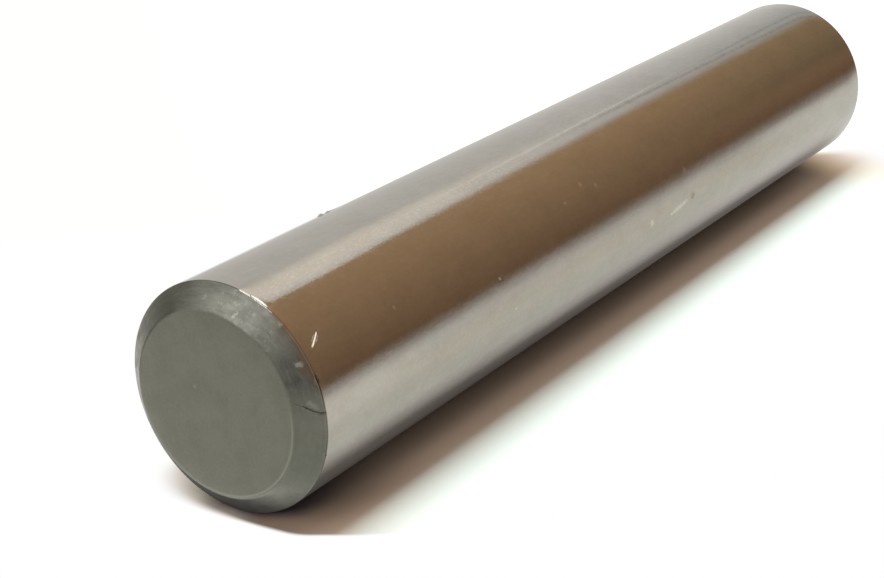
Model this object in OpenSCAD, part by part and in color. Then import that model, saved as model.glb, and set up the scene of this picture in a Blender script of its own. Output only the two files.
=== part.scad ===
// Solid parallel pin, turned from round bar with a chamfer at each end.
// It stands on one end face, with its axis along +Z. Millimetres.

/* [Pin] */
// Diameter of the shank
pin_d = 16; // [6:0.5:40]
// Overall length, from end face to end face
pin_len = 90; // [30:1:250]

/* [Chamfers] */
// How far each chamfer cuts in from the shank, on the radius
chamfer_in = 1.6; // [0.4:0.1:2.4]
// How far each chamfer runs along the pin
chamfer_run = 1.25; // [0.4:0.05:4]

/* [Edges] */
// Radius of the edge where the shank turns into a chamfer
shank_edge_r = 0.3; // [0.05:0.05:0.4]
// Radius of the edge where a chamfer turns into an end face
face_edge_r = 0.15; // [0.05:0.05:0.3]

/* [Hidden] */

// Facets round the pin, and straight steps along each rounded edge
round_steps = 96;
edge_steps = 4;

shank_r = pin_d / 2;
face_r = shank_r - chamfer_in;
// Turn of the outline from the shank to the chamfer, and on to the end face
chamfer_turn = atan2(chamfer_in, chamfer_run);
face_turn = 90 - chamfer_turn;
// Distance from each sharp corner to where its round begins
shank_edge_back = shank_edge_r * tan(chamfer_turn / 2);
face_edge_back = face_edge_r * tan(face_turn / 2);

// Points [radius, height] of an arc about a centre, from one outward angle to another
function arc(centre, r, from, to) =
    [for (i = [0:edge_steps])
        let (a = from + (to - from) * i / edge_steps)
        centre + r * [cos(a), sin(a)]];

// Outline of the upper end: shank, rounded edge, chamfer, rounded edge, end face
function upper_end() = concat(
    arc([shank_r - shank_edge_r, pin_len - chamfer_run - shank_edge_back],
        shank_edge_r, 0, chamfer_turn),
    arc([face_r - face_edge_back, pin_len - face_edge_r],
        face_edge_r, chamfer_turn, 90));

// The same outline turned end for end
function lower_end() =
    let (upper = upper_end())
    [for (i = [len(upper) - 1:-1:0]) [upper[i].x, pin_len - upper[i].y]];

// Half section of the whole pin, from the axis out
function half_section() = concat([[0, 0]], lower_end(), upper_end(), [[0, pin_len]]);

module pin() {
    color([0.60, 0.58, 0.54])
        rotate_extrude($fn = round_steps)
            polygon(half_section());
}

pin();
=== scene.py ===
"""A solid parallel pin of ground steel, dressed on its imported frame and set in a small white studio."""

import logging
import math
from collections.abc import Callable, Sequence
from dataclasses import dataclass
from enum import Enum
from typing import Any, Union

import bpy
import numpy as np
from mathutils import Matrix, Vector


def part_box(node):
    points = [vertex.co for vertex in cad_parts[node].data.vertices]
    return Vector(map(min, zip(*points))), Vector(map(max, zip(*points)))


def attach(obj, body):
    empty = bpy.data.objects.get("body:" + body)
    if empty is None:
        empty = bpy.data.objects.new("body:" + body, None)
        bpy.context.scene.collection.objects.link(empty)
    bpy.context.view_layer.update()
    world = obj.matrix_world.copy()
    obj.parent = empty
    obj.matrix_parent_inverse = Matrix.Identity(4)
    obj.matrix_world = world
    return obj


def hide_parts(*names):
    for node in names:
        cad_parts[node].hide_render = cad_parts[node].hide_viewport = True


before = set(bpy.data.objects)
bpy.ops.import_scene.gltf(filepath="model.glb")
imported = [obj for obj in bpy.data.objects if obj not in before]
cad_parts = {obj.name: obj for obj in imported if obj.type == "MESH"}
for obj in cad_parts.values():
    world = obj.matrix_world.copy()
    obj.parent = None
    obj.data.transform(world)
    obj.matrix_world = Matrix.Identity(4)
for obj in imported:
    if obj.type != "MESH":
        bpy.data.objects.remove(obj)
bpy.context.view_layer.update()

log = logging.getLogger("parallel_pin")

MM = 0.001
HAIR = 0.001 * MM
CLOSE = MM / 50
NEAR = MM / 20
# The pin's own measures, in mm as the marks give them.
SHANK_REACH = 8.0
FACE_REACH = 6.4
CHAMFER_WIDE = 1.6
CHAMFER_FALL = 1.25
TOP = 90.0
Colour = tuple[float, float, float]
Span = tuple[float, float]
Band = tuple[float, float, float, float]
WHITE: Colour = (1.0, 1.0, 1.0)


# ----------------------------------------------------------------------------
# Node workshop
# ----------------------------------------------------------------------------


class Wire:
    """An output of a node, on which Python arithmetic adds Math nodes."""

    def __init__(self, bench: "Bench", socket: bpy.types.NodeSocket) -> None:
        """Keeps the socket and the bench that its new nodes go on."""
        self.bench = bench
        self.socket = socket

    def _math(self, operation: str, *values: "Value") -> "Wire":
        """Adds one Math node of that operation over the values."""
        return self.bench.node("Math", {"operation": operation}, dict(enumerate(values)))

    def __add__(self, other: "Value") -> "Wire":
        """Sum."""
        return self._math("ADD", self, other)

    def __radd__(self, other: float) -> "Wire":
        """Sum, number first."""
        return self._math("ADD", other, self)

    def __sub__(self, other: "Value") -> "Wire":
        """Difference."""
        return self._math("SUBTRACT", self, other)

    def __rsub__(self, other: float) -> "Wire":
        """Difference, number first."""
        return self._math("SUBTRACT", other, self)

    def __mul__(self, other: "Value") -> "Wire":
        """Product."""
        return self._math("MULTIPLY", self, other)

    def __rmul__(self, other: float) -> "Wire":
        """Product, number first."""
        return self._math("MULTIPLY", other, self)

    def __abs__(self) -> "Wire":
        """Size without its sign."""
        return self._math("ABSOLUTE", self)

    def angle_from(self, across: "Wire") -> "Wire":
        """Angle in degrees of the point whose upright reach is this and whose level reach is across."""
        return self._math("ARCTAN2", self, across) * math.degrees(1.0)

    def arc_sine(self) -> "Wire":
        """Angle in degrees whose sine this is."""
        return self._math("ARCSINE", self) * math.degrees(1.0)

    def root(self) -> "Wire":
        """Square root."""
        return self._math("SQRT", self)

    def least(self, other: "Value") -> "Wire":
        """The smaller of the two."""
        return self._math("MINIMUM", self, other)

    def most(self, other: "Value") -> "Wire":
        """The larger of the two."""
        return self._math("MAXIMUM", self, other)


Value = Union[float, Wire]
AnyValue = Union[float, Sequence[float], Wire]


class Bench:
    """A node tree under construction."""

    def __init__(self, tree: bpy.types.NodeTree) -> None:
        """Clears the tree and keeps it."""
        tree.nodes.clear()
        self.tree = tree

    def node(
        self,
        kind: str,
        settings: dict[str, Any] | None = None,
        values: dict[int | str, AnyValue] | None = None,
        out: int | str = 0,
    ) -> Wire:
        """Adds a node.

        Args:
            kind: The node's type without its ShaderNode prefix.
            settings: Its own settings, which are set first.
            values: A number, a colour or a Wire for each of its input sockets.
            out: The output that is wanted.

        Returns:
            That output as a Wire.
        """
        made = self.tree.nodes.new("ShaderNode" + kind)
        for name, value in (settings or {}).items():
            setattr(made, name, value)
        for name, value in (values or {}).items():
            socket = made.inputs[name]
            if isinstance(value, Wire):
                self.tree.links.new(value.socket, socket)
            elif isinstance(socket.default_value, float):
                socket.default_value = value
            else:
                room = len(socket.default_value)
                socket.default_value = (*value, 1.0)[:room]
        return Wire(self, made.outputs[out] if made.outputs else None)

    def vector(self, how: str, values: dict[int | str, AnyValue], out: int | str = 0) -> Wire:
        """A sum on vectors; its output "Value" is the one that is a number."""
        return self.node("VectorMath", {"operation": how}, values, out)

    def either(self, share: Wire, first: Wire, second: Wire) -> Wire:
        """The first shader at share 0 and the second at share 1."""
        return self.node("MixShader", {}, {0: share, 1: first, 2: second})

    def smooth(self, value: Value, low: Value, high: Value) -> Wire:
        """0 below low, 1 above high and a soft step between; low may be the larger."""
        return self.node(
            "MapRange",
            {"interpolation_type": "SMOOTHSTEP"},
            {"Value": value, "From Min": low, "From Max": high},
        )

    def band(self, value: Value, steps: Band) -> Wire:
        """1 between the middle two steps and 0 past the outer two."""
        return self.smooth(value, steps[0], steps[1]) * self.smooth(value, steps[3], steps[2])

    def blend(self, share: Value, first: AnyValue, second: AnyValue, how: str = "MIX") -> Wire:
        """Mixes two colours.

        Args:
            share: How much of the second colour, from 0 to 1.
            first: The colour at share 0.
            second: The colour at share 1.
            how: The way of mixing.

        Returns:
            The mixed colour.
        """
        first_socket, second_socket, result = 6, 7, 2
        return self.node(
            "Mix",
            {"data_type": "RGBA", "blend_type": how},
            {0: share, first_socket: first, second_socket: second},
            result,
        )

    def noise(self, place: Wire, scale: float, detail: float, rough: float = 0.5) -> Wire:
        """Cloudy noise about 0.5 at that many lumps a millimetre."""
        return self.node(
            "TexNoise",
            {},
            {"Vector": place, "Scale": scale, "Detail": detail, "Roughness": rough},
        )

    def stretched(self, place: Wire, across: Sequence[float]) -> Wire:
        """The place with each axis multiplied on its own."""
        return self.vector("MULTIPLY", {0: place, 1: across})


def new_material(name: str) -> tuple[bpy.types.Material, Bench]:
    """An empty material of that name and the bench for its nodes."""
    material = bpy.data.materials.new(name)
    material.use_nodes = True
    return material, Bench(material.node_tree)


# ----------------------------------------------------------------------------
# Camera
# ----------------------------------------------------------------------------


@dataclass(frozen=True)
class PinCamera:
    """A camera close above one end of the pin, turned so that the pin seems to lie down."""

    place: tuple[float, float, float] = (-77.727 * MM, -28.283 * MM, 163.199 * MM)
    heading: float = 20.530
    dip: float = 49.907
    roll: float = -120.123
    lens: float = 70.35
    shift: Span = (0.00068, -0.00045)
    film_width: float = 36.0

    def build(self) -> None:
        """Makes it the scene's camera."""
        level, down, turn = (math.radians(a) for a in (self.heading, self.dip, self.roll))
        ahead = Vector(
            (math.cos(level) * math.cos(down), math.sin(level) * math.cos(down), -math.sin(down))
        )
        side = ahead.cross(Vector((0.0, 0.0, 1.0))).normalized()
        over = side.cross(ahead)
        right = math.cos(turn) * side + math.sin(turn) * over
        top = right.cross(ahead)
        data = bpy.data.cameras.new("pin_camera")
        data.lens = self.lens
        data.sensor_width = self.film_width
        data.shift_x, data.shift_y = self.shift
        data.clip_start = 5 * MM
        data.clip_end = 20.0
        camera = bpy.data.objects.new("pin_camera", data)
        bpy.context.scene.collection.objects.link(camera)
        camera.matrix_world = Matrix.Translation(self.place) @ Matrix(
            (right, top, -ahead)
        ).transposed().to_4x4()
        bpy.context.scene.camera = camera


# ----------------------------------------------------------------------------
# Studio
# ----------------------------------------------------------------------------


@dataclass(frozen=True)
class Card:
    """A soft-edged patch of the surroundings, in degrees of bearing and height, that steel mirrors."""

    name: str
    bearing: float
    half: float
    soft: Span
    low: float
    high: float
    fade: Span
    colours: tuple[Colour, Colour]
    lean: tuple[float, float] = (0.0, 0.0)
    spread: tuple[float, float] = (0.0, 0.0)
    how: str = "MIX"


@dataclass(frozen=True)
class Surroundings:
    """What the steel mirrors, with a white backdrop for the camera and a warm fill for the table."""

    under: Colour = (0.645, 0.63, 0.60)
    level: Colour = (0.60, 0.59, 0.55)
    level_from: Span = (-38.0, -22.0)
    over: Colour = (0.27, 0.27, 0.24)
    over_from: Span = (22.0, 42.0)
    fill: Colour = (0.56, 0.40, 0.29)
    mirrored_again: float = 0.02
    lean_from: float = -45.0
    cards: tuple[Card, ...] = (
        Card("shaded side", 8.0, 20.0, (14.0, 10.0), -39.0, -25.0, (3.0, 14.0),
             ((0.50, 0.50, 0.48), (0.47, 0.47, 0.45))),
        Card("edge sheen", 15.0, 12.0, (8.0, 6.0), -47.0, -41.0, (4.0, 3.0),
             ((1.35, 1.37, 1.35),) * 2),
        Card("side sheen", 14.0, 10.0, (8.0, 8.0), -38.0, -24.0, (4.0, 8.0),
             ((0.95, 0.96, 0.94),) * 2),
        Card("pale wall", -243.0, 24.0, (12.0, 12.0), -90.0, -30.0, (1.0, 12.0),
             ((0.69, 0.70, 0.65), (0.68, 0.65, 0.56))),
        Card("pale patch", 139.0, 12.0, (10.0, 8.0), -48.0, -30.0, (2.0, 8.0),
             ((0.81, 0.80, 0.73), (0.81, 0.79, 0.71))),
        Card("soft fold", 98.0, 16.0, (10.0, 12.0), -61.0, -46.0, (3.0, 4.0),
             ((0.87, 0.86, 0.85), (0.90, 0.90, 0.90)), how="MULTIPLY"),
        Card("grey wall", 101.0, 31.0, (14.0, 18.0), 7.0, 60.0, (8.0, 10.0),
             ((0.26, 0.27, 0.24), (0.26, 0.26, 0.22))),
        Card("dark cloth", -19.0, 29.0, (12.0, 12.0), -8.0, 28.0, (8.0, 10.0),
             ((0.10, 0.10, 0.08), (0.12, 0.12, 0.10))),
        Card("window glow", -85.0, 12.0, (7.0, 7.0), -53.0, -20.0, (6.0, 20.0),
             ((0.93, 0.87, 0.79), (0.93, 0.86, 0.77)), (0.4, 0.4)),
        Card("bright seam", -83.0, 0.8, (0.8, 0.8), -61.0, -51.0, (3.0, 3.0),
             ((1.0, 0.95, 0.86),) * 2, (0.65, 0.65)),
        Card("dark seam", -71.2, 1.3, (1.2, 1.2), -90.0, -57.0, (1.0, 2.0),
             ((0.36, 0.34, 0.31),) * 2, (-0.7, -0.7)),
        Card("second seam", -73.0, 1.2, (1.6, 1.6), -90.0, -60.0, (1.0, 2.0),
             ((0.42, 0.40, 0.36),) * 2),
        Card("ceiling glow", -84.0, 22.0, (14.0, 12.0), 30.0, 60.0, (8.0, 8.0),
             ((0.78, 0.78, 0.76), (0.78, 0.77, 0.70))),
        Card("dark shelf", -176.0, 26.0, (12.0, 12.0), 46.0, 74.0, (8.0, 8.0),
             ((0.05, 0.05, 0.045),) * 2),
        Card("oak board", -150.6, 49.9, (10.0, 0.8), -90.0, 12.0, (1.0, 14.0),
             ((0.165, 0.098, 0.058), (0.45, 0.295, 0.17)), (-0.34, 0.55), (0.35, 0.55)),
        Card("dark gap", 53.0, 31.0, (3.0, 19.0), -90.0, -14.0, (1.0, 12.0),
             ((0.022, 0.018, 0.015), (0.19, 0.17, 0.15)), (0.0, -0.6)),
        Card("table haze", 50.0, 60.0, (20.0, 20.0), -90.0, -58.0, (1.0, 9.0),
             ((0.09, 0.08, 0.08),) * 2, how="ADD"),
        Card("dark corner", 50.0, 19.0, (8.0, 10.0), -30.0, 4.0, (6.0, 8.0),
             ((0.05, 0.05, 0.05),) * 2),
        Card("far shade", -108.0, 57.0, (12.0, 25.0), -90.0, -61.0, (1.0, 7.0),
             ((0.68, 0.74, 0.74), (0.72, 0.75, 0.77)), how="MULTIPLY"),
        Card("lamp", -101.0, 12.0, (6.0, 6.0), -14.0, 16.0, (6.0, 6.0),
             ((1.9, 1.85, 1.75),) * 2),
    )

    def build(self) -> None:
        """Makes it the scene's world."""
        world = bpy.data.worlds.new("surroundings")
        world.use_nodes = True
        bench = Bench(world.node_tree)
        toward = bench.node("TexCoord", out="Generated")
        east, north, rise = (bench.node("SeparateXYZ", {}, {0: toward}, k) for k in range(3))
        height = rise.arc_sine()
        seen = bench.blend(bench.smooth(height, *self.level_from), self.under, self.level)
        seen = bench.blend(bench.smooth(height, *self.over_from), seen, self.over)
        for card in self.cards:
            seen = self._hang(bench, card, (east, north, height), seen)
        path = {name: bench.node("LightPath", out=name)
                for name in ("Is Camera Ray", "Is Diffuse Ray", "Diffuse Depth")}
        dimmed = bench.blend(path["Diffuse Depth"].least(1.0), WHITE, (self.mirrored_again,) * 3)
        seen = bench.blend(1.0, seen, dimmed, "MULTIPLY")
        seen = bench.blend(path["Is Diffuse Ray"], seen, self.fill)
        seen = bench.blend(path["Is Camera Ray"], seen, WHITE)
        glow = bench.node("Background", {}, {"Color": seen, "Strength": 1.0})
        bench.node("OutputWorld", {}, {"Surface": glow})
        bpy.context.scene.world = world

    def _hang(
        self, bench: Bench, card: Card, looks: tuple[Wire, Wire, Wire], behind: Wire
    ) -> Wire:
        """Lays one card over what is behind it.

        Args:
            bench: The world's nodes.
            card: The card.
            looks: How far east and north the look goes, and its height in degrees.
            behind: The colour behind the card.

        Returns:
            The colour with the card in front.
        """
        east, north, height = looks
        turn = math.radians(card.bearing)
        ahead = east * math.cos(turn) + north * math.sin(turn)
        aside = north * math.cos(turn) - east * math.sin(turn)
        below = (self.lean_from - height).most(0.0)
        across = aside.angle_from(ahead)
        window: Value = 1.0
        for side, sign in enumerate((-1.0, 1.0)):
            edge = (across - below * card.lean[side]) * sign
            soft = below * card.spread[side] + card.soft[side]
            window = bench.smooth(edge, card.half + soft, card.half - soft) * window
        window = window * bench.smooth(height, card.low - card.fade[0], card.low + card.fade[0])
        window = window * bench.smooth(height, card.high + card.fade[1], card.high - card.fade[1])
        slide = bench.node("MapRange", {}, {"Value": across, "From Min": -card.half, "From Max": card.half})
        face = bench.blend(slide, card.colours[0], card.colours[1])
        return bench.blend(window, behind, face, card.how)


@dataclass(frozen=True)
class Table:
    """The white board the pin touches along its side, seen only from the pin's side. Over the shadow that the
    key lamp casts, its paint adds painted shade near the pin and painted light past the shadow's edges.

    A place on it is how far it lies aside of the pin along X and how far up. A band of four is where
    a tone begins, is full, is still full and ends. The shadow's edge at the near end is how far up it
    crosses the pin, its slope and its curve, on the pin's left and on its right.
    """

    reach: float = 160 * MM
    white: Colour = (0.80, 0.80, 0.80)
    end_up: Band = (78 * MM, 88 * MM, 88 * MM, 94.5 * MM)
    # Painted shade beside the touching line at the near end.
    darker: Colour = (0.45, 0.44, 0.43)
    darker_aside: Span = (-10.2 * MM, -5.3 * MM)
    # Painted contact shade along the touching line, away from the near end.
    touch_shade: float = 0.3
    touch_shade_aside: Band = (-7 * MM, -4.2 * MM, -3.6 * MM, -1.2 * MM)
    touch_shade_up: Span = (6 * MM, 20 * MM)
    # Painted contact shade where the near end touches the board.
    darkest: Colour = (0.52, 0.56, 0.74)
    darkest_aside: Band = (-5.5 * MM, -2.5 * MM, 1.5 * MM, 4.5 * MM)
    darkest_up: Span = (89.6 * MM, 88.5 * MM)
    # Painted shadow on the pin's right, by its near end.
    shaded: Colour = (0.18, 0.15, 0.13)
    shaded_aside: Band = (2 * MM, 6 * MM, 13.5 * MM, 17.5 * MM)
    shaded_up: Span = (74 * MM, 81 * MM)
    # Painted reflection of the board past its far end; mirrored_close is painted shadow in it near the
    # touching line.
    mirrored: Colour = (0.74, 0.74, 0.69)
    mirrored_up: Span = (11 * MM, -7 * MM)
    mirrored_aside: Span = (-25 * MM, -12 * MM)
    mirrored_close: Colour = (0.42, 0.34, 0.29)
    close_aside: Span = (-9 * MM, 0.0)
    close_up: Span = (-4 * MM, 5 * MM)
    near_left: tuple[float, float, float] = (90.6 * MM, 0.26, 19.0)
    near_right: tuple[float, float, float] = (90.09 * MM, 0.314, 7.0)
    near_turn: Span = (-8 * MM, -3.5 * MM)
    near_soft: float = 0.25 * MM
    near_softer: float = 0.05
    # Warm tint of the painted light at the near end's shadow edge.
    near_tint: Colour = (1.0, 0.85, 0.73)
    near_tinted: Span = (-1.5 * MM, 3 * MM)
    near_inner: float = 0.18
    near_inner_from: Span = (-1.4 * MM, -0.2 * MM)
    near_fade_slope: float = 0.94
    near_fade: Span = (87.7 * MM, 93.9 * MM)
    far_end: Span = (5.2 * MM, -7.8 * MM)
    far_slope: float = -1.07
    # Orange tint of the painted light where the shadow fades at the far end.
    far_tint: Colour = (1.05, 0.70, 0.36)
    far_tinted: Band = (-45 * MM, -24 * MM, -2 * MM, 2 * MM)
    lit_past: Span = (110 * MM, 150 * MM)

    def build(self, touch: float) -> bpy.types.Object:
        """Stands the board.

        Args:
            touch: Where along Y the pin touches it.

        Returns:
            The board.
        """
        bpy.ops.mesh.primitive_plane_add(size=2 * self.reach)
        board = bpy.context.object
        board.name = "white_board"
        board.data.transform(
            Matrix.Translation((0.0, touch, 0.0)) @ Matrix.Rotation(math.radians(90.0), 4, "X")
        )
        board.data.materials.append(self._white_board())
        board.visible_shadow = False
        board.visible_diffuse = False
        return board

    def _white_board(self) -> bpy.types.Material:
        """The board's white paint, clear from behind, with a painted reflection: past the far end a glow that
        only the pin mirrors, darker near the touching line.
        """
        material, bench = new_material("white_board")
        clear = bench.node("BsdfTransparent")
        behind = bench.node("NewGeometry", out="Backfacing")
        place = bench.node("TexCoord", out="Object")
        aside = bench.node("SeparateXYZ", {}, {0: place}, 0)
        up = bench.node("SeparateXYZ", {}, {0: place}, 2)
        paint = bench.node("BsdfDiffuse", {}, {"Color": self._toned(bench, aside, up)})
        paint = self._near_light(bench, aside, up, paint)
        paint = self._far_light(bench, aside, up, paint)
        away = bench.vector("LENGTH", {0: place}, "Value")
        paint = self._lit(bench, paint, bench.smooth(away, *self.lit_past), WHITE)
        # Painted reflection, with painted shadow near the touching line.
        close = bench.smooth(aside, *self.close_aside) * bench.smooth(up, *self.close_up)
        far_part = bench.blend(close, self.mirrored, self.mirrored_close)
        glow = bench.node("Emission", {}, {"Color": far_part, "Strength": 1.0})
        past_end = bench.smooth(up, *self.mirrored_up) * bench.smooth(aside, *self.mirrored_aside)
        mirror = bench.either(past_end, clear, glow)
        camera = bench.node("LightPath", out="Is Camera Ray")
        shown = bench.either(camera, mirror, paint)
        both = bench.either(behind, shown, clear)
        bench.node("OutputMaterial", {}, {"Surface": both})
        return material

    def _toned(self, bench: Bench, aside: Wire, up: Wire) -> Wire:
        """The paint's colour, darker where the pin's near end and its touching line keep light off."""
        end = bench.band(up, self.end_up)
        colour = bench.blend(end * bench.smooth(aside, *self.darker_aside), self.white, self.darker)
        # Painted contact shade along the touching line.
        touch_shade = bench.band(aside, self.touch_shade_aside) * (1.0 - end) * bench.smooth(up, *self.touch_shade_up)
        colour = bench.blend(touch_shade * self.touch_shade, colour, (0.0, 0.0, 0.0))
        contact = bench.band(aside, self.darkest_aside) * end * bench.smooth(up, *self.darkest_up)
        colour = bench.blend(contact, colour, bench.blend(1.0, colour, self.darkest, "MULTIPLY"))
        beside = bench.smooth(up, *self.shaded_up) * bench.band(aside, self.shaded_aside)
        return bench.blend(beside, colour, self.shaded)

    def _near_light(self, bench: Bench, aside: Wire, up: Wire, paint: Wire) -> Wire:
        """Lights the paint past the shadow's edge at the near end with painted light, a glow tinted warm
        toward its edge on the pin's right.

        Args:
            bench: The board's nodes.
            aside: How far a place lies aside of the pin.
            up: How far up it lies.
            paint: The paint so far.

        Returns:
            The paint, fully lit past the edge and a little inside it on the pin's right.
        """
        past_left, past_right = (
            aside * slope + aside * aside * curve + up - edge
            for edge, slope, curve in (self.near_left, self.near_right)
        )
        beyond = past_left + (past_right - past_left) * bench.smooth(aside, *self.near_turn)
        soft = aside.most(0.0) * self.near_softer + self.near_soft
        lit = bench.smooth(beyond, soft * -1.0, soft)
        right = bench.smooth(aside, *self.near_tinted)
        inner = bench.smooth(beyond, *self.near_inner_from) * right * self.near_inner
        fading = bench.smooth(aside + up * self.near_fade_slope, *self.near_fade)
        lit = (1.0 - (1.0 - inner) * (1.0 - fading)) * (1.0 - lit) + lit
        tint = bench.blend(right, WHITE, bench.blend(lit, self.near_tint, WHITE))
        return self._lit(bench, paint, lit, tint)

    def _far_light(self, bench: Bench, aside: Wire, up: Wire, paint: Wire) -> Wire:
        """Lights the paint past the shadow's end at the far end of the pin with painted light, a glow tinted
        orange beside the pin.
        """
        past = abs(aside) * self.far_slope + up
        lit = bench.smooth(past, *self.far_end)
        tint = bench.blend(lit, self.far_tint, WHITE)
        tint = bench.blend(bench.band(aside, self.far_tinted), WHITE, tint)
        return self._lit(bench, paint, lit, tint)

    def _lit(self, bench: Bench, paint: Wire, share: Wire, colour: AnyValue) -> Wire:
        """The paint with painted light, a glow of that colour, on that share of it."""
        bright = bench.node("Emission", {}, {"Color": colour, "Strength": 1.0})
        return bench.either(share, paint, bright)


@dataclass(frozen=True)
class Floor:
    """The pale floor under the standing pin."""

    reach: float = 2.0
    pale: float = 0.8
    glow: float = 0.62
    clear: Span = (70 * MM, 150 * MM)

    def build(self) -> bpy.types.Object:
        """Lays the floor.

        Returns:
            The floor.
        """
        bpy.ops.mesh.primitive_plane_add(size=2 * self.reach)
        floor = bpy.context.object
        floor.name = "pale_floor"
        material, bench = new_material("pale_floor")
        paint = bench.node("BsdfDiffuse", {}, {"Color": (self.pale,) * 3})
        glow = bench.node("Emission", {}, {"Color": WHITE, "Strength": self.glow})
        both = bench.node("AddShader", {}, {0: paint, 1: glow})
        place = bench.node("TexCoord", out="Object")
        away = bench.vector("LENGTH", {0: place}, "Value")
        white = bench.node("Emission", {}, {"Color": WHITE, "Strength": 1.0})
        far = bench.smooth(away, *self.clear)
        shown = bench.either(far, both, white)
        bench.node("OutputMaterial", {}, {"Surface": shown})
        floor.data.materials.append(material)
        floor.visible_glossy = False
        floor.visible_diffuse = False
        floor.visible_shadow = False
        return floor


@dataclass(frozen=True)
class SoftLamp:
    """A rectangular lamp aimed at the pin, which lights one stage piece and isn't mirrored."""

    name: str
    bearing: float
    height: float
    away: float
    wide: float
    tall: float
    power: float
    colour: Colour
    aim: tuple[float, float, float]

    def build(self, lit: bpy.types.Object, shade: bpy.types.Object) -> None:
        """Hangs the lamp.

        Args:
            lit: The only object that it lights.
            shade: The only object that shades it.
        """
        level, up = math.radians(self.bearing), math.radians(self.height)
        back = Vector(
            (math.cos(level) * math.cos(up), math.sin(level) * math.cos(up), math.sin(up))
        )
        data = bpy.data.lights.new(self.name, "AREA")
        data.shape = "RECTANGLE"
        data.size = self.wide
        data.size_y = self.tall
        data.energy = self.power
        data.color = self.colour
        lamp = bpy.data.objects.new(self.name, data)
        bpy.context.scene.collection.objects.link(lamp)
        lamp.location = Vector(self.aim) + back * self.away
        lamp.rotation_mode = "QUATERNION"
        lamp.rotation_quaternion = (-back).to_track_quat("-Z", "Y")
        lamp.visible_glossy = False
        lamp.visible_camera = False
        lights = bpy.data.collections.new(self.name + "_lights")
        lights.objects.link(lit)
        lamp.light_linking.receiver_collection = lights
        blocks = bpy.data.collections.new(self.name + "_blocks")
        blocks.objects.link(shade)
        lamp.light_linking.blocker_collection = blocks


# ----------------------------------------------------------------------------
# Pin
# ----------------------------------------------------------------------------


class Zone(Enum):
    """The three surfaces of the pin that are finished apart."""

    SHANK = 0
    CHAMFER = 1
    FACE = 2


@dataclass(frozen=True)
class Mark:
    """A dent, nick, scratch or burr along a short path of spots.

    A spot is (turn in degrees, radius in mm, height in mm). Depth is into the steel, so a burr's is
    below 0 and a stain's is 0. Cuts is how finely the skin is divided there first. The tint, where
    there is one, is the colour that the mark's floor takes over that width. Fray is how ragged its
    edge is, and lean is how its floor slopes along x, y and z.
    """

    name: str
    path: tuple[tuple[float, float, float], ...]
    width: float
    depth: float
    cuts: int = 0
    tint: Colour | None = None
    tint_width: float = 0.2
    taper: bool = False
    fray: float = 1.6
    lean: tuple[float, float, float] | None = None

    @property
    def zone(self) -> Zone:
        """The surface that the mark starts on."""
        _, reach, height = self.path[0]
        if reach >= SHANK_REACH:
            return Zone.SHANK
        return Zone.FACE if height >= TOP else Zone.CHAMFER

    def corners(self) -> list[Vector]:
        """The path's spots in mm."""
        return [
            Vector((reach * math.cos(math.radians(turn)), reach * math.sin(math.radians(turn)), height))
            for turn, reach, height in self.path
        ]


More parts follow.
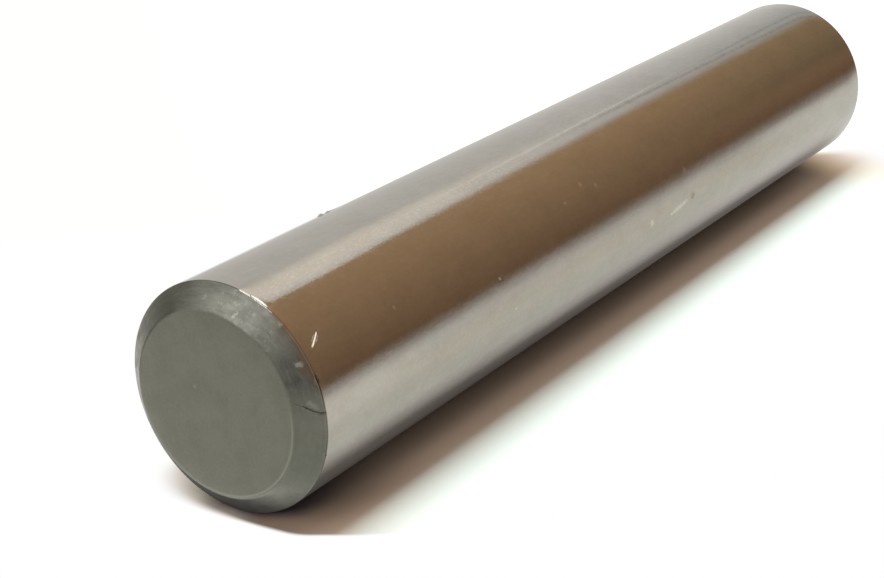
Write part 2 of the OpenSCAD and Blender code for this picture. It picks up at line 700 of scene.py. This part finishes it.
@dataclass
class GroundPin:
    """The pin: a ground shank, a turned chamfer at each end and two flat faces."""

    radius: float
    length: float
    foot: float
    around: int = 512
    chamfer_in: float = 1.6 * MM
    chamfer_run: float = 1.25 * MM
    rim_round: float = 0.06 * MM
    face_round: float = 0.12 * MM
    fine_from: float = 84.0 * MM
    fine_rows: int = 34
    middle_from: float = 68.0 * MM
    middle_rows: int = 15
    plain_rows: int = 24
    chamfer_rows: tuple[tuple[bool, int], ...] = ((True, 12), (False, 3))
    crisp_from: float = 32.0
    face_rings: tuple[float, ...] = (1.2 * MM, 1.6 * MM, 2.0 * MM)

    def build(self) -> bpy.types.Object:
        """Models the pin and its wear.

        Returns:
            The pin's object.
        """
        bpy.ops.object.select_all(action="DESELECT")
        straight = self.length - 2 * self.chamfer_run
        bpy.ops.mesh.primitive_cylinder_add(
            vertices=self.around,
            radius=self.radius,
            depth=straight,
            end_fill_type="NGON",
            location=(0.0, 0.0, self.foot + self.length / 2),
        )
        pin = bpy.context.object
        pin.name = "ground_pin"
        bpy.ops.object.transform_apply(location=True)
        for end in (1, -1):
            self._turn_end(pin, end)
        self._round_rims(pin)
        self._add_rows(pin)
        for mark in MARKS:
            if mark.depth:
                self._strike(pin, mark)
        bpy.ops.object.select_all(action="DESELECT")
        pin.select_set(True)
        bpy.context.view_layer.objects.active = pin
        bpy.ops.object.shade_smooth_by_angle(angle=math.radians(self.crisp_from))
        return pin

    def _corners(self, pin: bpy.types.Object) -> np.ndarray:
        """The vertices' places, one row each."""
        flat = np.zeros(len(pin.data.vertices) * 3)
        pin.data.vertices.foreach_get("co", flat)
        return flat.reshape(-1, 3)

    def _pick(self, pin: bpy.types.Object, kind: str, chosen: np.ndarray) -> None:
        """Selects only the chosen vertices, edges or faces and goes into edit mode.

        Args:
            pin: The pin.
            kind: "VERT", "EDGE" or "FACE".
            chosen: True for each one to select.
        """
        bpy.ops.object.mode_set(mode="EDIT")
        bpy.ops.mesh.select_mode(type=kind)
        bpy.ops.mesh.select_all(action="DESELECT")
        bpy.ops.object.mode_set(mode="OBJECT")
        parts = {"VERT": pin.data.vertices, "EDGE": pin.data.edges, "FACE": pin.data.polygons}[kind]
        parts.foreach_set("select", chosen)
        bpy.ops.object.mode_set(mode="EDIT")

    def _face_facts(self, pin: bpy.types.Object) -> tuple[np.ndarray, np.ndarray]:
        """The faces' centres and normals, one row each."""
        facts = []
        for fact in ("center", "normal"):
            flat = np.zeros(len(pin.data.polygons) * 3)
            pin.data.polygons.foreach_get(fact, flat)
            facts.append(flat.reshape(-1, 3))
        return facts[0], facts[1]

    def _edges(self, pin: bpy.types.Object, test: Callable[[np.ndarray, np.ndarray], np.ndarray]) -> None:
        """Selects the edges whose two ends pass the test."""
        pairs = np.zeros(len(pin.data.edges) * 2, int)
        pin.data.edges.foreach_get("vertices", pairs)
        spots = self._corners(pin)
        self._pick(pin, "EDGE", test(spots[pairs[0::2]], spots[pairs[1::2]]))

    def _turn_end(self, pin: bpy.types.Object, end: int) -> None:
        """Draws one end out into its chamfer and rings its flat face."""
        self._pick(pin, "FACE", self._face_facts(pin)[1][:, 2] * end > 0.9)
        bpy.ops.mesh.extrude_region_move(
            TRANSFORM_OT_translate={"value": (0.0, 0.0, end * self.chamfer_run)}
        )
        small = (self.radius - self.chamfer_in) / self.radius
        tip = self.length if end > 0 else 0.0
        bpy.ops.transform.resize(value=(small, small, 1.0), center_override=(0.0, 0.0, tip))
        for ring in self.face_rings:
            bpy.ops.mesh.inset(thickness=ring)
        bpy.ops.object.mode_set(mode="OBJECT")

    def _round_rims(self, pin: bpy.types.Object) -> None:
        """Breaks the sharp edges at both ends."""
        for inner, size, steps in ((False, self.rim_round, 4), (True, self.face_round, 3)):
            reach = self.radius - self.chamfer_in if inner else self.radius
            rims = (0.0, self.length) if inner else (self.chamfer_run, self.length - self.chamfer_run)

            def on_rim(first: np.ndarray, second: np.ndarray) -> np.ndarray:
                """True for an edge that runs round the rim."""
                level = np.zeros(len(first), bool)
                for height in rims:
                    level |= (abs(first[:, 2] - height) < CLOSE) & (abs(second[:, 2] - height) < CLOSE)
                far = np.hypot(first[:, 0], first[:, 1]) > reach - NEAR
                far &= np.hypot(second[:, 0], second[:, 1]) > reach - NEAR
                return level & far

            self._edges(pin, on_rim)
            bpy.ops.mesh.bevel(
                offset=size, offset_type="OFFSET", segments=steps, profile=0.5, affect="EDGES"
            )
            bpy.ops.object.mode_set(mode="OBJECT")

    def _add_rows(self, pin: bpy.types.Object) -> None:
        """Divides the shank and the chamfers along the pin, finely near the upper end."""
        for height in (self.fine_from, self.middle_from):
            self._pick(pin, "FACE", np.ones(len(pin.data.polygons), bool))
            bpy.ops.mesh.bisect(plane_co=(0.0, 0.0, height), plane_no=(0.0, 0.0, 1.0))
            bpy.ops.object.mode_set(mode="OBJECT")
        top = self.length - self.chamfer_run - MM
        sections = (
            (self.fine_from + MM, top, self.fine_rows),
            (self.middle_from + MM, self.fine_from - MM, self.middle_rows),
            (self.chamfer_run + MM, self.middle_from - MM, self.plain_rows),
        )
        for low, high, rows in sections:
            self._edges(pin, lambda a, b, low=low, high=high: (np.minimum(a[:, 2], b[:, 2]) < low)
                        & (np.maximum(a[:, 2], b[:, 2]) > high)
                        & (abs(a[:, 2] - b[:, 2]) > MM)
                        & (np.minimum(a[:, 2], b[:, 2]) > low - 2.5 * MM))
            bpy.ops.mesh.subdivide_edgering(number_cuts=rows, interpolation="LINEAR", smoothness=0.0)
            bpy.ops.object.mode_set(mode="OBJECT")
        for high_end, rows in self.chamfer_rows:
            self._edges(pin, lambda a, b, high_end=high_end: (abs(a[:, 2] - b[:, 2]) > 0.5 * self.chamfer_run)
                        & (abs(np.hypot(a[:, 0], a[:, 1]) - np.hypot(b[:, 0], b[:, 1])) > 0.5 * MM)
                        & ((a[:, 2] > self.length / 2) == high_end))
            bpy.ops.mesh.subdivide_edgering(number_cuts=rows, interpolation="LINEAR", smoothness=0.0)
            bpy.ops.object.mode_set(mode="OBJECT")

    def _outward(self, spot: np.ndarray) -> np.ndarray:
        """The direction straight out of the skin at a spot."""
        reach = math.hypot(spot[0], spot[1])
        radial = np.array((spot[0] / reach, spot[1] / reach, 0.0))
        if spot[2] > self.length - self.chamfer_run + NEAR:
            slope = math.hypot(self.chamfer_in, self.chamfer_run)
            return (radial * self.chamfer_run + np.array((0.0, 0.0, self.chamfer_in))) / slope
        return radial

    def _strike(self, pin: bpy.types.Object, mark: Mark) -> None:
        """Works one mark into the skin."""
        path = np.array(mark.corners()) * MM
        size = mark.width * MM
        for cut in range(mark.cuts):
            spots = self._corners(pin)
            near = self._gap(spots, path) < size * 1.5 + 0.12 * MM / 2**cut
            self._pick(pin, "FACE", self._touched(pin, near))
            bpy.ops.mesh.subdivide(number_cuts=1)
            bpy.ops.object.mode_set(mode="OBJECT")
        gaps = self._gap(self._corners(pin), path)
        chosen = gaps < max(size * 0.12, gaps.min() * 1.05)
        self._pick(pin, "VERT", chosen)
        push = -mark.depth * MM * self._outward(path[len(path) // 2])
        bpy.ops.transform.translate(
            value=tuple(push),
            orient_type="GLOBAL",
            use_proportional_edit=True,
            proportional_edit_falloff="SMOOTH",
            proportional_size=size,
        )
        bpy.ops.object.mode_set(mode="OBJECT")

    def _touched(self, pin: bpy.types.Object, near: np.ndarray) -> np.ndarray:
        """The small faces that have a corner among the near ones."""
        corners = np.zeros(len(pin.data.loops), int)
        pin.data.loops.foreach_get("vertex_index", corners)
        starts, sizes = (np.zeros(len(pin.data.polygons), int) for _ in range(2))
        pin.data.polygons.foreach_get("loop_start", starts)
        pin.data.polygons.foreach_get("loop_total", sizes)
        return np.logical_or.reduceat(near[corners], starts) & (sizes < 20)

    def _gap(self, spots: np.ndarray, path: np.ndarray) -> np.ndarray:
        """How far each spot is from the path.

        Args:
            spots: The places, one row each.
            path: The path's corners, one row each.

        Returns:
            One distance for each spot.
        """
        best = np.linalg.norm(spots - path[0], axis=1)
        for start, stop in zip(path[:-1], path[1:]):
            along = stop - start
            share = np.clip((spots - start) @ along / (along @ along), 0.0, 1.0)
            best = np.minimum(best, np.linalg.norm(spots - start - share[:, None] * along, axis=1))
        return best

    def _zones(self, pin: bpy.types.Object) -> np.ndarray:
        """The number of the surface that each face belongs to."""
        centres, _ = self._face_facts(pin)
        from_end = np.minimum(centres[:, 2], self.length - centres[:, 2])
        reach = np.hypot(centres[:, 0], centres[:, 1])
        zones = np.full(len(centres), Zone.SHANK.value)
        turned = (from_end < self.chamfer_run) & (reach < self.radius - self.rim_round / 2)
        flat = (from_end < self.face_round) & (reach < self.radius - self.chamfer_in + self.face_round / 2)
        zones[turned] = Zone.CHAMFER.value
        zones[flat] = Zone.FACE.value
        return zones

    def dress(self, pin: bpy.types.Object) -> None:
        """Gives each surface its finish and hands the pin to the frame."""
        for finish in (GroundShank(), TurnedChamfer(), FlatFace()):
            pin.data.materials.append(finish.material())
        pin.data.polygons.foreach_set("material_index", self._zones(pin))
        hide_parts("pin")
        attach(pin, "root")


def shank(turn: float, height: float) -> tuple[float, float, float]:
    """A spot on the shank."""
    return turn, SHANK_REACH, height


def chamfer(turn: float, reach: float) -> tuple[float, float, float]:
    """A spot on the upper chamfer."""
    return turn, reach, TOP - (reach - FACE_REACH) * CHAMFER_FALL / CHAMFER_WIDE


# Painted shade for the notches and the crease.
RECESS_SHADE: Colour = (0.10, 0.09, 0.075)
DUSTY: Colour = (0.44, 0.41, 0.36)
# Bright bare steel for a fleck and a spot, and painted highlight for the rim gleam.
BARE_AND_GLEAM: Colour = (0.98, 0.96, 0.92)
PALE: Colour = (0.80, 0.79, 0.74)

MARKS: tuple[Mark, ...] = (
    Mark("bruised rim", (shank(-121.0, 88.8), shank(-127.0, 88.8), shank(-132.0, 88.8)), 0.6, 0.05),
    Mark("worn rim", (shank(-147.0, 88.75), shank(-158.0, 88.75), shank(-169.0, 88.75)), 0.6, 0.045),
    # The notch and nick are darkened with painted shade.
    Mark("rim notch", (shank(-170.9, 88.72), shank(-173.6, 88.72)), 0.22, 0.03, 2, RECESS_SHADE, 0.3, fray=0.8),
    Mark("rim nick", (shank(150.9, 88.74), shank(148.9, 88.74)), 0.22, 0.03, 2, RECESS_SHADE, 0.24),
    # Rim gleam: painted highlight along the rim.
    Mark("rim gleam", (shank(-117.0, 88.68), shank(-125.0, 88.66)), 0.2, 0.0, 0, BARE_AND_GLEAM, 0.1, fray=0.5),
    Mark("rim gleam", (shank(-123.0, 88.64), shank(-127.8, 88.58), shank(-132.6, 88.56)), 0.2, 0.0, 0,
         BARE_AND_GLEAM, 0.26, True, fray=0.3, lean=(0.02, -0.02, 0.47)),
    # The crease and its end are darkened with painted shade.
    Mark("crease", (chamfer(177.0, 7.0), chamfer(173.8, 7.43), chamfer(172.4, 7.75), chamfer(172.4, 7.98)),
         0.16, 0.03, 2, RECESS_SHADE, 0.12, fray=0.5),
    Mark("crease end", (chamfer(179.6, 6.62), chamfer(177.0, 7.0)), 0.16, 0.0, 0, (0.36, 0.35, 0.32), 0.12,
         fray=0.5),
    Mark("crease side", (chamfer(178.2, 7.3), chamfer(175.4, 7.62)), 0.2, 0.0, 0, (0.60, 0.60, 0.56), 0.26),
    # The long scratch's warm tint is partly bare steel and partly painted highlight of its walls.
    Mark("long scratch", (shank(-153.9, 86.82), shank(-156.2, 87.32), shank(-158.7, 87.9)), 0.16, 0.012, 2,
         (0.86, 0.78, 0.66), 0.24, True, fray=0.1, lean=(0.24, -0.54, 0.52)),
    Mark("tall burr", (shank(-79.0, 73.9),), 0.34, -0.13, 3),
    Mark("low burr", (shank(-79.2, 73.1),), 0.30, -0.09, 3),
    Mark("speck", (shank(-154.0, 54.0),), 0.30, 0.012, 3, (0.74, 0.72, 0.64), 0.44),
    Mark("speck", (shank(-158.1, 52.3),), 0.26, 0.010, 3, (0.74, 0.72, 0.64), 0.36),
    Mark("speck", (shank(-158.6, 57.0),), 0.24, 0.010, 3, PALE, 0.3),
    Mark("speck", (shank(-161.6, 79.5),), 0.28, 0.012, 3, PALE, 0.22),
    Mark("speck", (shank(-175.9, 68.0),), 0.26, 0.010, 3, PALE, 0.22),
    Mark("speck", (shank(164.3, 45.7),), 0.34, 0.010, 3, PALE, 0.5),
    Mark("side scratch", (shank(162.1, 42.4), shank(164.8, 39.4)), 0.24, 0.006, 3, PALE, 0.34, True),
    Mark("side pit", (shank(165.4, 38.4),), 0.3, 0.0, 0, DUSTY, 0.7),
    Mark("side spot", (shank(-177.2, 39.3),), 0.3, 0.0, 0, DUSTY, 0.6),
    Mark("light spot", (shank(164.7, 66.6),), 0.3, 0.0, 0, BARE_AND_GLEAM, 0.14),
    Mark("chamfer fleck", (chamfer(-121.2, 6.70), chamfer(-121.9, 6.88)), 0.2, 0.0, 0, BARE_AND_GLEAM, 0.22),
    Mark("chamfer fleck", (chamfer(-124.2, 6.60),), 0.2, 0.0, 0, PALE, 0.36),
    Mark("chamfer fleck", (chamfer(-130.3, 7.36),), 0.2, 0.0, 0, PALE, 0.24, fray=0.6),
    Mark("chamfer fleck", (chamfer(-142.6, 7.86),), 0.2, 0.0, 0, (0.62, 0.60, 0.54), 0.3, fray=0.6),
    Mark("chamfer fleck", (chamfer(-162.0, 7.44), chamfer(-163.2, 7.58)), 0.2, 0.0, 0,
         (0.66, 0.62, 0.56), 0.3),
    Mark("chamfer fleck", (chamfer(-99.9, 7.14),), 0.2, 0.0, 0, (0.66, 0.66, 0.60), 0.3),
    Mark("face prick", ((-46.9, 1.82, TOP),), 0.2, 0.0, 0, (0.66, 0.66, 0.60), 0.3),
)


# ----------------------------------------------------------------------------
# Finishes
# ----------------------------------------------------------------------------


@dataclass(frozen=True)
class Steel:
    """What all three finishes share: bare steel with grain, mottling, stains and fine lines."""

    name: str = "steel"
    zone: Zone = Zone.SHANK
    tone: Colour = (0.56, 0.54, 0.50)
    stain: Colour = (0.46, 0.43, 0.39)
    gloss: Span = (0.12, 0.18)

    def material(self) -> bpy.types.Material:
        """Makes the finish.

        Returns:
            The material.
        """
        made, bench = new_material(self.name)
        place = bench.node("TexCoord", out="Object")
        in_mm = bench.vector("SCALE", {0: place, "Scale": 1 / MM})
        colour, rough, height = self.surface(bench, in_mm)
        ragged = bench.noise(in_mm, 7.0, 2.0) - 0.5
        for mark in MARKS:
            # Mark tints: real stains and wear, and for some marks painted shade or painted highlight.
            if mark.tint and mark.zone is self.zone:
                mask = self._stroke(bench, in_mm, mark, ragged)
                colour = bench.blend(mask, colour, mark.tint)
                rough = (rough + mask * 0.3).least(0.9)
                if mark.lean:
                    height = height - self._rise(bench, in_mm, mark) * mask
        bump = bench.node("Bump", {}, {"Strength": 1.0, "Distance": MM, "Height": height})
        skin = bench.node("BsdfPrincipled", {}, {
            "Base Color": colour,
            "Metallic": 1.0,
            "Roughness": rough,
            "Normal": bump,
        })
        bench.node("OutputMaterial", {}, {"Surface": skin})
        return made

    def surface(self, bench: Bench, spot: Wire) -> tuple[Wire, Wire, Wire]:
        """Colour, roughness and height in mm of the skin at a spot in mm."""
        raise NotImplementedError

    def _stroke(self, bench: Bench, spot: Wire, mark: Mark, ragged: Wire) -> Wire:
        """1 on a mark's path and 0 off it.

        Args:
            bench: The material's nodes.
            spot: Where the skin is, in mm.
            mark: The mark.
            ragged: Noise about 0 that frays its edge.

        Returns:
            The mark's share of the skin there.
        """
        corners = mark.corners()
        shown: Value = 0.0
        for start, stop in zip(corners, corners[1:] or corners):
            offset = bench.vector("SUBTRACT", {0: spot, 1: start})
            along = stop - start
            width: Value = mark.tint_width
            if along.length:
                share = bench.vector("DOT_PRODUCT", {0: offset, 1: along}, "Value")
                share = (share * along.length**-2).most(0.0).least(1.0)
                step = bench.vector("SCALE", {0: along, "Scale": share})
                offset = bench.vector("SUBTRACT", {0: offset, 1: step})
                if mark.taper:
                    ends = self._end_shares(mark, start)
                    total = share * (ends[1] - ends[0]) + ends[0]
                    width = (total * (1.0 - total) * 4.0 + 0.15).root() * mark.tint_width
            gap = bench.vector("LENGTH", {0: offset}, "Value")
            gap = gap + ragged * width * mark.fray
            shown = bench.smooth(gap, width * 0.8, width * 0.1).most(shown)
        return shown

    def _rise(self, bench: Bench, spot: Wire, mark: Mark) -> Wire:
        """How far a spot in mm lies along a mark's lean from the middle of its path."""
        middle = mark.corners()[len(mark.path) // 2]
        offset = bench.vector("SUBTRACT", {0: spot, 1: middle})
        return bench.vector("DOT_PRODUCT", {0: offset, 1: mark.lean}, "Value")

    def _end_shares(self, mark: Mark, start: Vector) -> tuple[float, float]:
        """How far along the whole mark the piece that begins at start begins and ends."""
        count = len(mark.path) - 1
        first = mark.corners().index(start)
        return first / count, (first + 1) / count

    def _turn(self, bench: Bench, spot: Wire) -> tuple[Wire, Wire, Wire]:
        """The spot's turn in degrees, its radius and its height in mm."""
        across, back, up = (bench.node("SeparateXYZ", {}, {0: spot}, k) for k in range(3))
        return back.angle_from(across), (across * across + back * back).root(), up

    def _span(self, bench: Bench, value: Wire, ends: Span, soft: float) -> Wire:
        """1 between the ends and 0 outside, with soft steps."""
        return bench.band(value, (ends[0] - soft, ends[0] + soft, ends[1] - soft, ends[1] + soft))


@dataclass(frozen=True)
class GroundShank(Steel):
    """Ground and handled: bright, with fine grain and faint tints, a scuffed band whose bright flecks are
    partly painted sparkle of the highlight, and a painted dark line round the rim that turns to painted brown
    reflection over part of it.
    """

    name: str = "ground_shank"
    gloss: Span = (0.07, 0.13)
    pinkish: Colour = (0.575, 0.53, 0.50)
    greenish: Colour = (0.53, 0.54, 0.49)
    scuffed: Colour = (0.74, 0.71, 0.66)
    # Where the scuffed band lies; its bumps are real and its bright flecks are partly painted sparkle of the
    # highlight.
    scuff_and_sparkle_turns: Span = (-132.3, -120.8)
    scuff_and_sparkle_up: Span = (42.0, 66.0)
    # Painted dark line round the rim, left out where the rim highlight falls.
    rim: Colour = (0.20, 0.19, 0.17)
    rim_up: Span = (88.6, 88.72)
    rim_bright_turns: Span = (-133.0, -116.5)
    # Painted brown reflection over part of the rim, where the mirrored brown band runs on.
    rim_brown_reflection: Colour = (0.48, 0.39, 0.31)
    rim_brown_turns: Span = (-172.0, -134.5)

    def surface(self, bench: Bench, spot: Wire) -> tuple[Wire, Wire, Wire]:
        """Colour, roughness and height in mm of the skin at a spot in mm."""
        turn, _, up = self._turn(bench, spot)
        cloud = bench.noise(spot, 0.33, 4.0, 0.6)
        tints = bench.noise(bench.stretched(spot, (0.7, 0.7, 0.3)), 1.0, 3.0, 0.6)
        grain = bench.noise(bench.stretched(spot, (1.0, 1.0, 0.7)), 3.2, 3.0, 0.6)
        flecks = bench.noise(bench.stretched(spot, (1.0, 1.0, 0.5)), 6.0, 3.0, 0.7)
        waves = bench.noise(bench.stretched(spot, (0.6, 0.6, 0.12)), 1.0, 2.0)
        colour = bench.blend(bench.smooth(cloud, 0.35, 0.75) * 0.4, self.tone, self.stain)
        colour = bench.blend(bench.smooth(tints, 0.5, 0.75) * 0.7, colour, self.pinkish)
        colour = bench.blend(bench.smooth(tints, 0.5, 0.25) * 0.7, colour, self.greenish)
        colour = bench.blend(bench.smooth(grain, 0.4, 0.75) * 0.16, colour, self.scuffed)
        streaks = bench.noise(bench.stretched(spot, (1.8, 1.8, 0.5)), 1.0, 4.0, 0.65)
        colour = bench.blend(bench.smooth(streaks, 0.5, 0.75) * 0.16, colour, self.scuffed)
        colour = bench.blend(bench.smooth(streaks, 0.5, 0.25) * 0.16, colour, self.stain)
        # Scuffed band: real bumps, and bright flecks that are partly painted sparkle of the highlight.
        scuff_and_sparkle_band = self._span(bench, turn, self.scuff_and_sparkle_turns, 0.7) * bench.smooth(up, *self.scuff_and_sparkle_up)
        colour = bench.blend(scuff_and_sparkle_band * bench.smooth(flecks, 0.5, 0.72) * 0.6, colour, self.scuffed)
        # Painted dark line round the rim, left out over the turns where its highlight falls.
        edge = bench.smooth(up, *self.rim_up)
        edge = edge * (1.0 - self._span(bench, turn, self.rim_bright_turns, 1.0))
        colour = bench.blend(edge, colour, self.rim)
        # Painted brown reflection where the mirrored brown band runs on over the rim.
        colour = bench.blend(self._span(bench, turn, self.rim_brown_turns, 1.5) * edge, colour, self.rim_brown_reflection)
        rough = self.gloss[0] + (self.gloss[1] - self.gloss[0]) * bench.smooth(grain, 0.3, 0.8)
        height = grain * 0.004 + waves * 0.014 + flecks * scuff_and_sparkle_band * 0.0015
        return colour, rough, height


@dataclass(frozen=True)
class TurnedChamfer(Steel):
    """Turned and a little oxidised: dull, with rings and flecks, painted shade on the side that faces the
    board, a thin dark line along part of the outer edge and a painted brown reflection on part of it.
    """

    name: str = "turned_chamfer"
    zone: Zone = Zone.CHAMFER
    tone: Colour = (0.52, 0.52, 0.475)
    stain: Colour = (0.43, 0.43, 0.39)
    gloss: Span = (0.28, 0.40)
    # Painted brown reflection on the outer edge, where the mirrored brown band runs on.
    chamfer_brown_reflection: Colour = (0.40, 0.29, 0.225)
    dark: Colour = (0.15, 0.14, 0.13)
    bright: Colour = (0.88, 0.88, 0.82)
    ringed_turns: Span = (-178.0, -70.0)
    scuffed_turns: Span = (-150.0, -104.0)
    outer_turns: Span = (-136.0, -90.0)
    chamfer_brown_turns: Span = (-176.0, -140.0)
    dark_edge_turns: Span = (-172.0, -134.0)
    # Turns of the painted shade on the side that faces the board, and nearest the touching line.
    left_turns: Span = (3.0, 80.0)
    lowest_turns: Span = (58.0, 84.0)

    def surface(self, bench: Bench, spot: Wire) -> tuple[Wire, Wire, Wire]:
        """Colour, roughness and height in mm of the skin at a spot in mm."""
        turn, reach, _ = self._turn(bench, spot)
        back = bench.node("SeparateXYZ", {}, {0: spot}, 1)
        cloud = bench.noise(spot, 0.9, 4.0, 0.65)
        grain = bench.noise(spot, 4.0, 3.0, 0.6)
        flecks = bench.noise(spot, 3.4, 3.0, 0.6)
        swept = bench.node("CombineXYZ", {}, {0: turn * 0.09, 1: reach * 5.5, 2: 0.0})
        rings = bench.noise(swept, 1.0, 4.0, 0.65)
        colour = bench.blend(bench.smooth(cloud, 0.35, 0.75), self.tone, self.stain)
        upper = self._span(bench, turn, self.ringed_turns, 14.0) * 0.7 + 0.3
        colour = bench.blend(bench.smooth(rings, 0.5, 0.72) * upper * 0.28, colour, self.bright)
        colour = bench.blend(bench.smooth(rings, 0.5, 0.28) * upper * 0.3, colour, self.dark)
        scuffed = self._span(bench, turn, self.scuffed_turns, 8.0)
        colour = bench.blend(scuffed * bench.smooth(flecks, 0.55, 0.72) * 0.5, colour, self.bright)
        outer = self._span(bench, turn, self.outer_turns, 8.0) * bench.smooth(reach, 7.1, 7.7)
        colour = bench.blend(outer * 0.26, colour, self.dark)
        # Painted brown reflection on the outer edge, ragged inward.
        chamfer_brown_share = self._span(bench, turn, self.chamfer_brown_turns, 6.0)
        chamfer_brown_share = chamfer_brown_share * bench.smooth(reach + (cloud - 0.5) * 1.4, 7.2, 7.95)
        colour = bench.blend(chamfer_brown_share * 0.85, colour, self.chamfer_brown_reflection)
        # Darker along the outermost edge over these turns.
        dark_edge = self._span(bench, turn, self.dark_edge_turns, 3.0) * bench.smooth(reach, 7.9, 7.96)
        colour = bench.blend(dark_edge * 0.5, colour, self.dark)
        # Painted shade on the side that faces the board, deepest near the touching line.
        left = self._span(bench, turn, self.left_turns, 6.0)
        lowest = bench.smooth(reach, 7.0, 7.9) * self._span(bench, turn, self.lowest_turns, 10.0)
        left = left * (lowest * 0.5 + 0.26)
        colour = bench.blend(left, colour, self.dark)
        # Painted reflection of the shadowed board: darker toward the board.
        under = bench.smooth(back, 6.0, 7.9) * 0.88
        colour = bench.blend(under, colour, self.dark)
        rough = self.gloss[0] + (self.gloss[1] - self.gloss[0]) * bench.smooth(cloud, 0.3, 0.7)
        height = grain * 0.008 + rings * 0.008
        return colour, rough, height


@dataclass(frozen=True)
class FlatFace(Steel):
    """Faced off and grey: nearly plain, with fine mottling and a painted highlight along its edge on one
    side.
    """

    name: str = "flat_face"
    zone: Zone = Zone.FACE
    tone: Colour = (0.53, 0.525, 0.47)
    stain: Colour = (0.47, 0.465, 0.41)
    gloss: Span = (0.36, 0.42)
    bright: Colour = (0.68, 0.68, 0.62)
    dark: Colour = (0.34, 0.34, 0.30)
    edge_highlight_reach: Span = (6.17, 6.31)
    edge_highlight_turns: Span = (0.0, 172.0)
    edge_highlight_full_from: Span = (50.0, 95.0)

    def surface(self, bench: Bench, spot: Wire) -> tuple[Wire, Wire, Wire]:
        """Colour, roughness and height in mm of the skin at a spot in mm."""
        turn, reach, _ = self._turn(bench, spot)
        cloud = bench.noise(spot, 0.5, 4.0, 0.65)
        grain = bench.noise(spot, 4.5, 4.0, 0.7)
        colour = bench.blend(bench.smooth(cloud, 0.35, 0.75), self.tone, self.stain)
        colour = bench.blend(bench.smooth(grain, 0.5, 0.8) * 0.4, colour, self.bright)
        colour = bench.blend(bench.smooth(grain, 0.5, 0.2) * 0.4, colour, self.dark)
        # Painted highlight along the face's edge on one side.
        ring = self._span(bench, reach, self.edge_highlight_reach, 0.05)
        ring = ring * self._span(bench, turn, self.edge_highlight_turns, 12.0)
        ring = ring * (bench.smooth(turn, *self.edge_highlight_full_from) * 0.5 + 0.5)
        colour = bench.blend(ring, colour, self.bright)
        rough = self.gloss[0] + (self.gloss[1] - self.gloss[0]) * cloud
        height = grain * 0.006
        return colour, rough, height


# ----------------------------------------------------------------------------
# Assembly
# ----------------------------------------------------------------------------


def light(pin: bpy.types.Object, high: Vector) -> None:
    """Sets the board, the floor and the lamps about the pin.

    Args:
        pin: The pin.
        high: The upper corner of its box.
    """
    bpy.ops.object.select_all(action="DESELECT")
    board = Table().build(high.y)
    floor = Floor().build()
    SoftLamp(
        "key", bearing=-74.2, height=-27.0, away=0.6, wide=0.28, tall=0.46, power=6.0,
        colour=(0.78, 1.0, 0.98), aim=(0.0, 8 * MM, 45 * MM),
    ).build(board, pin)
    SoftLamp(
        "floor lamp", bearing=-160.0, height=42.0, away=0.17, wide=0.008, tall=0.008, power=0.2,
        colour=WHITE, aim=(0.0, 0.0, 45 * MM),
    ).build(floor, pin)
    log.info("studio: camera, surroundings, board, floor, two lamps")


def main() -> None:
    """Builds the camera, the studio and the pin."""
    logging.basicConfig(level=logging.INFO, format="%(message)s")
    bpy.context.scene.view_settings.view_transform = "Standard"
    low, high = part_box("pin")
    PinCamera().build()
    Surroundings().build()
    maker = GroundPin(radius=(high.y - low.y) / 2 - HAIR, length=high.z - low.z - 2 * HAIR, foot=low.z + HAIR)
    pin = maker.build()
    maker.dress(pin)
    light(pin, high)
    log.info("%s: %d faces, %d marks", pin.name, len(pin.data.polygons), len(MARKS))


if __name__ == "__main__":
    main()
